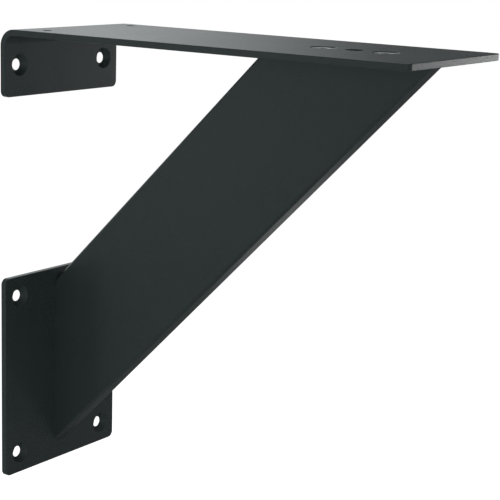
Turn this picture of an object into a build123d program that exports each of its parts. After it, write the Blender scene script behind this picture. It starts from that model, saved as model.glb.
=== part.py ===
from build123d import *
from math import atan2, cos, degrees, sin
import os

# Bar counter bracket: a folded top plate, a wall plate and a diagonal flat bar screwed between them.
# +X points out of the wall, +Y runs along the wall, +Z is up. Millimetres.
# The origin is the centre of the wall plate's four fixing holes, on the wall.

# Overall sizes
plate_width = 80.0
sheet = 3.0
reach = 218.0
overall_height = 220.0
wall_plate_height = 100.0
flange_height = 32.2
bend_radius = 5.0
corner_radius = 3.0
edge_round = 0.3

# Diagonal brace, cut from flat bar
brace_width = 60.0
brace_thickness = 10.0
brace_edge_round = 1.5
front_toe_setback = 7.5
lower_toe_setback = 9.5

# Fixing holes to the wall, countersunk on the room side
fixing_hole_d = 5.5
fixing_sink_d = 10.5
fixing_margin = 10.0
flange_hole_rise = 15.0

# Plain holes near the wall, for screws up into the counter
counter_hole_d = 4.5
counter_hole_spacing = 60.0
counter_hole_from_wall = 20.5

# Joint between the brace and each plate: two countersunk screws and a plain hole between them
joint_pitch = 15.5
toe_to_screw = 26.0
plain_hole_d = 8.0
screw_clearance_d = 5.5
countersink_angle = 90.0

# Countersunk socket screw
thread_d = 5.0
thread_gap = 0.1
head_d = 11.2
head_sink = 0.4
seat_gap = 0.05
screw_length = 16.0
socket_across_flats = 3.0
socket_depth = 1.9
tapped_hole_runout = 3.0
tapped_hole_mouth = 0.5

# Levels and places that follow from the sizes above
plate_bottom = -wall_plate_height / 2
counter_level = plate_bottom + overall_height
underside = counter_level - sheet
flange_bottom = counter_level - flange_height
flange_hole_level = flange_bottom + flange_hole_rise
fixing_spacing_y = plate_width - 2 * fixing_margin
fixing_spacing_z = wall_plate_height - 2 * fixing_margin
joint_sink_d = head_d + 2 * (head_sink + seat_gap)
tapped_mouth_d = max(thread_d + 2 * tapped_hole_mouth, joint_sink_d - 2 * sheet)
front_toe = reach - front_toe_setback
lower_toe = plate_bottom + lower_toe_setback

# The brace's slope follows from its two toes, and its end cuts from its width
slope = atan2(underside - lower_toe, front_toe - sheet)
top_cut = brace_width / sin(slope)
wall_cut = brace_width / cos(slope)
bar_line = Axis((sheet, 0, lower_toe), (cos(slope), 0, sin(slope)))

# Planes of the faces that holes start from, each with its normal out of the metal
counter_face = Plane(origin=(0, 0, counter_level), x_dir=(1, 0, 0), z_dir=(0, 0, 1))
flange_face = Plane(origin=(sheet, 0, flange_hole_level), x_dir=(0, 1, 0), z_dir=(1, 0, 0))
room_face = Plane(origin=(sheet, 0, 0), x_dir=(0, 1, 0), z_dir=(1, 0, 0))

# The fold: how far it runs along each leaf, its axis, and the inner face of each leaf at its bend line
bend_run = bend_radius + sheet
bend_axis = Axis((bend_run, 0, counter_level - bend_run), (0, -1, 0))
top_leaf = Plane(origin=(bend_run, 0, underside), x_dir=(1, 0, 0), z_dir=(0, 0, 1))
flange_leaf = Plane(origin=(sheet, 0, counter_level - bend_run), x_dir=(0, 0, -1), z_dir=(-1, 0, 0))

# The joint's middle hole in each plate, seen from outside, with local X towards the toe
top_joint = Plane(
    origin=(front_toe - toe_to_screw - joint_pitch, 0, counter_level), x_dir=(1, 0, 0), z_dir=(0, 0, 1)
)
wall_joint = Plane(
    origin=(0, 0, lower_toe + toe_to_screw + joint_pitch), x_dir=(0, 0, -1), z_dir=(-1, 0, 0)
)


def leaf(length):
    """A flat stretch of the strip, from its bend line at local X 0 to its free end."""
    with BuildPart() as flat:
        with BuildSketch() as blank:
            Rectangle(length, plate_width, align=(Align.MIN, Align.CENTER))
            fillet(blank.vertices().group_by(Axis.X)[-1], corner_radius)
        extrude(amount=sheet)
        outline = flat.faces().filter_by(Axis.Z).edges()
        fillet(outline - outline.group_by(Axis.X)[0], edge_round)
    return flat.part


def joint_holes():
    """Cuts one joint's holes, in the plane of the enclosing Locations."""
    with GridLocations(2 * joint_pitch, 0, 2, 1):
        CounterSinkHole(screw_clearance_d / 2, joint_sink_d / 2, sheet, countersink_angle)
    Hole(plain_hole_d / 2, sheet)


# Top plate: one strip, folded down at the wall
with BuildPart() as top_plate:
    with Locations(top_leaf):
        add(leaf(reach - bend_run))
    bend_section = top_plate.faces().sort_by(Axis.X)[0]
    revolve(bend_section, bend_axis, revolution_arc=90)
    with Locations(flange_leaf):
        add(leaf(flange_height - bend_run))
    with Locations(flange_face):
        with GridLocations(fixing_spacing_y, 0, 2, 1):
            CounterSinkHole(fixing_hole_d / 2, fixing_sink_d / 2, sheet, countersink_angle)
    with Locations(counter_face):
        with Locations((counter_hole_from_wall, 0)):
            with GridLocations(0, counter_hole_spacing, 1, 2):
                Hole(counter_hole_d / 2, sheet)
    with Locations(top_joint):
        joint_holes()
top_plate.part.label = "top_plate"

# Wall plate: a flat rectangle with rounded corners
with BuildPart() as wall_plate:
    with BuildSketch(Plane.YZ):
        RectangleRounded(plate_width, wall_plate_height, corner_radius)
    extrude(amount=sheet)
    wall_side = wall_plate.faces().sort_by(Axis.X)[0]
    room_side = wall_plate.faces().sort_by(Axis.X)[-1]
    fillet(wall_side.edges() + room_side.edges(), edge_round)
    with Locations(room_face):
        with GridLocations(fixing_spacing_y, fixing_spacing_z, 2, 2):
            CounterSinkHole(fixing_hole_d / 2, fixing_sink_d / 2, sheet, countersink_angle)
    with Locations(wall_joint):
        joint_holes()
wall_plate.part.label = "wall_plate"

# Brace: flat bar cut to a parallelogram, tapped in both ends
with BuildPart() as brace:
    with BuildSketch(Plane.XZ):
        with BuildLine():
            Polyline(
                (sheet, lower_toe),
                (front_toe, underside),
                (front_toe - top_cut, underside),
                (sheet, lower_toe + wall_cut),
                close=True,
            )
        make_face()
    extrude(amount=brace_thickness / 2, both=True)
    fillet(brace.edges().filter_by(bar_line), brace_edge_round)
    tapped_depth = screw_length + head_sink + tapped_hole_runout - sheet
    for joint in (top_joint, wall_joint):
        with Locations(joint.offset(-sheet)):
            with GridLocations(2 * joint_pitch, 0, 2, 1):
                CounterSinkHole(thread_d / 2, tapped_mouth_d / 2, tapped_depth, countersink_angle)
brace.part.label = "brace"

# One countersunk socket screw, its head's flat in the XY plane and its shank down
with BuildPart() as screw:
    shank_r = thread_d / 2 - thread_gap
    with BuildSketch(Plane.XZ):
        with BuildLine():
            Polyline(
                (0, 0),
                (head_d / 2, 0),
                (shank_r, shank_r - head_d / 2),
                (shank_r, -screw_length + tapped_hole_mouth),
                (shank_r - tapped_hole_mouth, -screw_length),
                (0, -screw_length),
                close=True,
            )
        make_face()
    revolve(axis=Axis.Z)
    with BuildSketch():
        RegularPolygon(socket_across_flats / 2, 6, major_radius=False)
    extrude(amount=-socket_depth, mode=Mode.SUBTRACT)

# The screws from above, and those from behind the wall plate
with BuildPart() as top_screws:
    with Locations(top_joint.offset(-head_sink)):
        with GridLocations(2 * joint_pitch, 0, 2, 1):
            add(screw.part)
top_screws.part.label = "top_screws"

with BuildPart() as wall_screws:
    with Locations(wall_joint.offset(-head_sink)):
        with GridLocations(2 * joint_pitch, 0, 2, 1):
            add(screw.part)
wall_screws.part.label = "wall_screws"

print(f"brace slope {degrees(slope):.2f} degrees, end cuts {top_cut:.2f} and {wall_cut:.2f} mm")

os.makedirs("parts", exist_ok=True)
export_step(top_plate.part, "parts/top_plate.step")
export_step(wall_plate.part, "parts/wall_plate.step")
export_step(brace.part, "parts/brace.step")
export_step(top_screws.part, "parts/top_screws.step")
export_step(wall_screws.part, "parts/wall_screws.step")
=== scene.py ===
from math import cos, pi, radians, sin

import bpy
from mathutils import Matrix, Vector

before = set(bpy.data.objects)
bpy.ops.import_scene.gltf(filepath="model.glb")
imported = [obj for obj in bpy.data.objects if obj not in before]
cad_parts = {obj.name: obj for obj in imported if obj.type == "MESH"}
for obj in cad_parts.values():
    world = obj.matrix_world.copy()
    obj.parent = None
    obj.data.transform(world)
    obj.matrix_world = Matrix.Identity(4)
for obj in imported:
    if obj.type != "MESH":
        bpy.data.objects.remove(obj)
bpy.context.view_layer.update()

# Bar counter bracket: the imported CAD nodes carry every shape. This script gives them their powder coat
# and screw steel, and sets the camera, the lamps and the white studio. Lengths are in metres.

MM = 0.001
WHITE = (1, 1, 1, 1)

# The joint screws stand in pairs: one pair along X in the top plate and one along Z in the wall plate, each
# screw a pitch away from the middle of its pair
TOP_PAIR_X = 169 * MM
WALL_PAIR_Z = 1 * MM
PAIR_PITCH = 15.5 * MM

# Powder coat, near black with a cool cast
COAT_DARK = (0.0190, 0.0265, 0.0270, 1)
COAT_PALE = (0.0250, 0.0335, 0.0340, 1)
COAT_ROUGHNESS = 0.24
COAT_IOR = 1.5
PEEL_SIZE = 1.6 * MM
GRAIN_SIZE = 0.28 * MM
CLOUD_SIZE = 45 * MM
PEEL_DEPTH = 0.03 * MM

# Screw steel, plated
STEEL_DARK = (0.70, 0.70, 0.69, 1)
STEEL_PALE = (0.80, 0.80, 0.79, 1)
STEEL_ROUGHNESS = 0.34
SMUDGE_SIZE = 2.5 * MM
RING_WIDTH = 0.12 * MM
RING_DEPTH = 0.01 * MM


class Field:
    """A shader value: arithmetic on it adds the Math nodes that work it out."""

    def __init__(self, shader, socket):
        self.shader = shader
        self.socket = socket

    def maths(self, operation, *inputs):
        return self.shader.node("Math", {"operation": operation}, dict(enumerate(inputs)))

    def __add__(self, other):
        return self.maths("ADD", self, other)

    def __radd__(self, other):
        return self.maths("ADD", other, self)

    def __sub__(self, other):
        return self.maths("SUBTRACT", self, other)

    def __rsub__(self, other):
        return self.maths("SUBTRACT", other, self)

    def __mul__(self, other):
        return self.maths("MULTIPLY", self, other)

    def __rmul__(self, other):
        return self.maths("MULTIPLY", other, self)

    def __abs__(self):
        return self.maths("ABSOLUTE", self)

    def sqrt(self):
        return self.maths("SQRT", self)


class Shader:
    """One material's or the world's node tree, filled through node()."""

    def __init__(self, tree):
        self.tree = tree
        tree.nodes.clear()

    def node(self, kind, settings=None, sockets=None, output=0):
        """Adds a node: its settings first, then its sockets, each by name or number, as a link if it is
        given a Field and else as a plain value. Gives one of its outputs, if it has any."""
        made = self.tree.nodes.new("ShaderNode" + kind)
        for name, value in (settings or {}).items():
            setattr(made, name, value)
        for key, value in (sockets or {}).items():
            if isinstance(value, Field):
                self.tree.links.new(value.socket, made.inputs[key])
            else:
                made.inputs[key].default_value = value
        return Field(self, made.outputs[output]) if made.outputs else None

    def place(self):
        """Object coordinates, which are metres in the part's own frame."""
        return self.node("TexCoord", output="Object")

    def parts(self, vector):
        """The three parts of a vector."""
        first = self.node("SeparateXYZ", sockets={"Vector": vector})
        return [Field(self, part) for part in first.socket.node.outputs]

    def noise(self, vector, size, detail, roughness=0.5):
        """Soft noise from 0 to 1, its grains about size metres across."""
        return self.node(
            "TexNoise",
            {"noise_dimensions": "3D"},
            {"Vector": vector, "Scale": 1 / size, "Detail": detail, "Roughness": roughness},
        )

    def blend(self, factor, first, second):
        """A colour from the first, where the factor is 0, to the second, where it is 1."""
        return self.node("Mix", {"data_type": "RGBA"}, {0: factor, 6: first, 7: second}, output=2)

    def bump(self, height, depth, strength):
        """A normal from a height field, a full step of which is depth metres."""
        return self.node("Bump", sockets={"Height": height, "Distance": depth, "Strength": strength})


def new_finish(name):
    """A new node material, and its shader."""
    made = bpy.data.materials.new(name)
    made.use_nodes = True
    return made, Shader(made.node_tree)


def powder_coat():
    """Satin powder coat: a soft orange peel with fine grain on it, in a film that clouds and grain make
    slightly uneven in tone and gloss."""
    made, shader = new_finish("powder_coat")
    place = shader.place()
    peel = shader.noise(place, PEEL_SIZE, detail=2)
    grain = shader.noise(place, GRAIN_SIZE, detail=3, roughness=0.6)
    cloud = shader.noise(place, CLOUD_SIZE, detail=3)
    tone = 0.55 * cloud + 0.45 * grain
    roughness = COAT_ROUGHNESS + 0.08 * grain + 0.06 * (cloud - 0.5)
    height = 0.75 * peel + 0.25 * grain
    coat = shader.node(
        "BsdfPrincipled",
        sockets={
            "Base Color": shader.blend(tone, COAT_DARK, COAT_PALE),
            "Roughness": roughness,
            "Metallic": 0.0,
            "IOR": COAT_IOR,
            "Normal": shader.bump(height, PEEL_DEPTH, 0.6),
        },
    )
    shader.node("OutputMaterial", sockets={"Surface": coat})
    return made


def screw_steel(name, axis, middle):
    """Plated steel, turned on a lathe, for a pair of screws along one axis (0 is X, 2 is Z): fine rings
    about each screw, and light handling marks. The rings follow the distance from the nearer screw: the
    square root of (abs(place along the axis - middle) - pitch) squared plus y squared."""
    made, shader = new_finish(name)
    place = shader.place()
    parts = shader.parts(place)
    aside = parts[1]
    from_screw = abs(parts[axis] - middle) - PAIR_PITCH
    radius = (from_screw * from_screw + aside * aside).sqrt()
    rings = shader.node(
        "TexNoise",
        {"noise_dimensions": "1D"},
        {"W": radius, "Scale": 1 / RING_WIDTH, "Detail": 2.0},
    )
    smudge = shader.noise(place, SMUDGE_SIZE, detail=3)
    steel = shader.node(
        "BsdfPrincipled",
        sockets={
            "Base Color": shader.blend(smudge, STEEL_DARK, STEEL_PALE),
            "Metallic": 1.0,
            "Roughness": STEEL_ROUGHNESS + 0.10 * smudge + 0.06 * rings,
            "Normal": shader.bump(rings, RING_DEPTH, 0.5),
        },
    )
    shader.node("OutputMaterial", sockets={"Surface": steel})
    return made


coat = powder_coat()
FINISHES = {
    "top_plate": coat,
    "wall_plate": coat,
    "brace": coat,
    "top_screws": screw_steel("screw_steel_top", 0, TOP_PAIR_X),
    "wall_screws": screw_steel("screw_steel_wall", 2, WALL_PAIR_Z),
}
for name, material in FINISHES.items():
    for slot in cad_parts[name].material_slots:
        slot.material = material

# Camera, fitted to the photograph's edges and hole centres. It is turned from +Y towards -X, pitched down
# and rolled a little; focal length and sensor width are in millimetres.
CAMERA_PLACE = (0.5006, -0.5430, 0.2203)
TURN = radians(35.204)
PITCH = radians(-11.141)
ROLL = radians(1.679)
FOCAL_LENGTH = 107.49
SENSOR_WIDTH = 36.0
SHIFT = -0.06

forward = Vector((-sin(TURN) * cos(PITCH), cos(TURN) * cos(PITCH), sin(PITCH)))
level_right = Vector((cos(TURN), sin(TURN), 0))
level_up = level_right.cross(forward)
right = cos(ROLL) * level_right + sin(ROLL) * level_up
up = -sin(ROLL) * level_right + cos(ROLL) * level_up
lens = bpy.data.cameras.new("camera")
lens.sensor_width = SENSOR_WIDTH
lens.lens = FOCAL_LENGTH
lens.shift_y = SHIFT
camera = bpy.data.objects.new("camera", lens)
bpy.context.scene.collection.objects.link(camera)
axes = Matrix((right, up, -forward)).transposed().to_4x4()
camera.matrix_world = Matrix.Translation(CAMERA_PLACE) @ axes
bpy.context.scene.camera = camera

# Lamps: soft cards that face the bracket's middle
MIDDLE = Vector((0.11, 0, 0.07))


def toward(azimuth, elevation):
    """The direction at an azimuth, in degrees clockwise from +Y seen from above, and an elevation."""
    a, e = radians(azimuth), radians(elevation)
    return Vector((sin(a) * cos(e), cos(a) * cos(e), sin(e)))


def card(name, azimuth, elevation, distance, size, radiance, diffuse=True, glossy=True):
    """A rectangular lamp, its size given as width and height. It shows in gloss, lights what is matt,
    or does both, and the camera doesn't see it."""
    width, height = size
    way = toward(azimuth, elevation)
    lamp = bpy.data.lights.new(name, "AREA")
    lamp.shape = "RECTANGLE"
    lamp.size = width
    lamp.size_y = height
    lamp.energy = radiance * pi * width * height
    made = bpy.data.objects.new(name, lamp)
    bpy.context.scene.collection.objects.link(made)
    facing = way.to_track_quat("Z", "Y").to_matrix().to_4x4()
    made.matrix_world = Matrix.Translation(MIDDLE + distance * way) @ facing
    made.visible_camera = False
    made.visible_diffuse = diffuse
    made.visible_glossy = glossy


# Plain light from all round, kept out of the gloss
card("front", 135, -2, 2.4, (1.8, 1.5), 2.7, glossy=False)
card("wall_side", 236, -4, 2.4, (1.6, 1.5), 2.1, glossy=False)
card("overhead", 90, 84, 2.6, (2.4, 2.4), 2.2, glossy=False)
card("near_side", 180, 0, 2.4, (2.4, 1.6), 0.95, glossy=False)
card("back", 315, -12, 2.4, (1.8, 1.0), 4.0, glossy=False)

# What the gloss shows: on the near side of the top plate, on its front end, on the strip under the brace
# and on the screws
card("glint", 217, -4, 2.4, (0.35, 0.6), 0.42)
card("end_strip", 18.5, -4, 2.6, (0.60, 0.9), 7.2, diffuse=False)
card("low_back", -12.0, -32.8, 1.55, (0.21, 0.21), 0.58)
card("high_back", -35, 40, 2.4, (0.7, 0.7), 2.1)

# The world: white where the camera looks, and elsewhere a dim studio with a cool cast. Gloss also shows a
# pale sweep there: round a level axis behind the wall side it is full within one angle and gone by another.
STUDIO = 0.105
AMBIENT = 0.15
STUDIO_TINT = (0.955, 1, 1, 1)
SWEEP_AXIS = toward(-75, 0)
SWEEP_FULL = cos(radians(34.8))
SWEEP_EDGE = cos(radians(45.2))
SWEEP_STRENGTH = 0.87

world = bpy.data.worlds.new("studio")
world.use_nodes = True
bpy.context.scene.world = world
sky = Shader(world.node_tree)
along = sky.parts(sky.node("TexCoord", output="Generated"))
sweep = sky.node(
    "MapRange",
    {"interpolation_type": "LINEAR"},
    {
        "Value": SWEEP_AXIS.x * along[0] + SWEEP_AXIS.y * along[1],
        "From Min": SWEEP_EDGE,
        "From Max": SWEEP_FULL,
        "To Max": SWEEP_STRENGTH,
    },
)
seen = sky.node("LightPath", output="Is Camera Ray")
mirrored = (
    sky.node("LightPath", output="Is Glossy Ray")
    + sky.node("LightPath", output="Is Transmission Ray")
)
strength = (
    seen
    + mirrored * (STUDIO + (1 - STUDIO) * sweep)
    + (1 - seen - mirrored) * AMBIENT
)
tint = sky.blend(seen, STUDIO_TINT, WHITE)
background = sky.node("Background", sockets={"Color": tint, "Strength": strength})
sky.node("OutputWorld", sockets={"Surface": background})

# Floor: where a person would stand under the counter. Gloss looks past it.
FLOOR_LEVEL = -0.90
FLOOR_SIZE = 30
FLOOR_COLOUR = (0.8, 0.8, 0.8, 1)
FLOOR_GLOW = 0.9


def pale_floor():
    """Matt and pale. For the camera a glow is added, so that it looks white and keeps soft shadows."""
    made, shader = new_finish("pale_floor")
    ground = shader.node("BsdfDiffuse", sockets={"Color": FLOOR_COLOUR})
    glow = shader.node("Emission", sockets={"Color": WHITE, "Strength": FLOOR_GLOW})
    lit = shader.node("AddShader", sockets={0: ground, 1: glow})
    seen = shader.node("LightPath", output="Is Camera Ray")
    mixed = shader.node("MixShader", sockets={0: seen, 1: ground, 2: lit})
    shader.node("OutputMaterial", sockets={"Surface": mixed})
    return made


bpy.ops.mesh.primitive_plane_add(size=FLOOR_SIZE, location=(0, 0, FLOOR_LEVEL))
floor = bpy.context.object
floor.name = "floor"
floor.visible_glossy = False
floor.data.materials.append(pale_floor())

bpy.context.scene.view_settings.view_transform = "Standard"
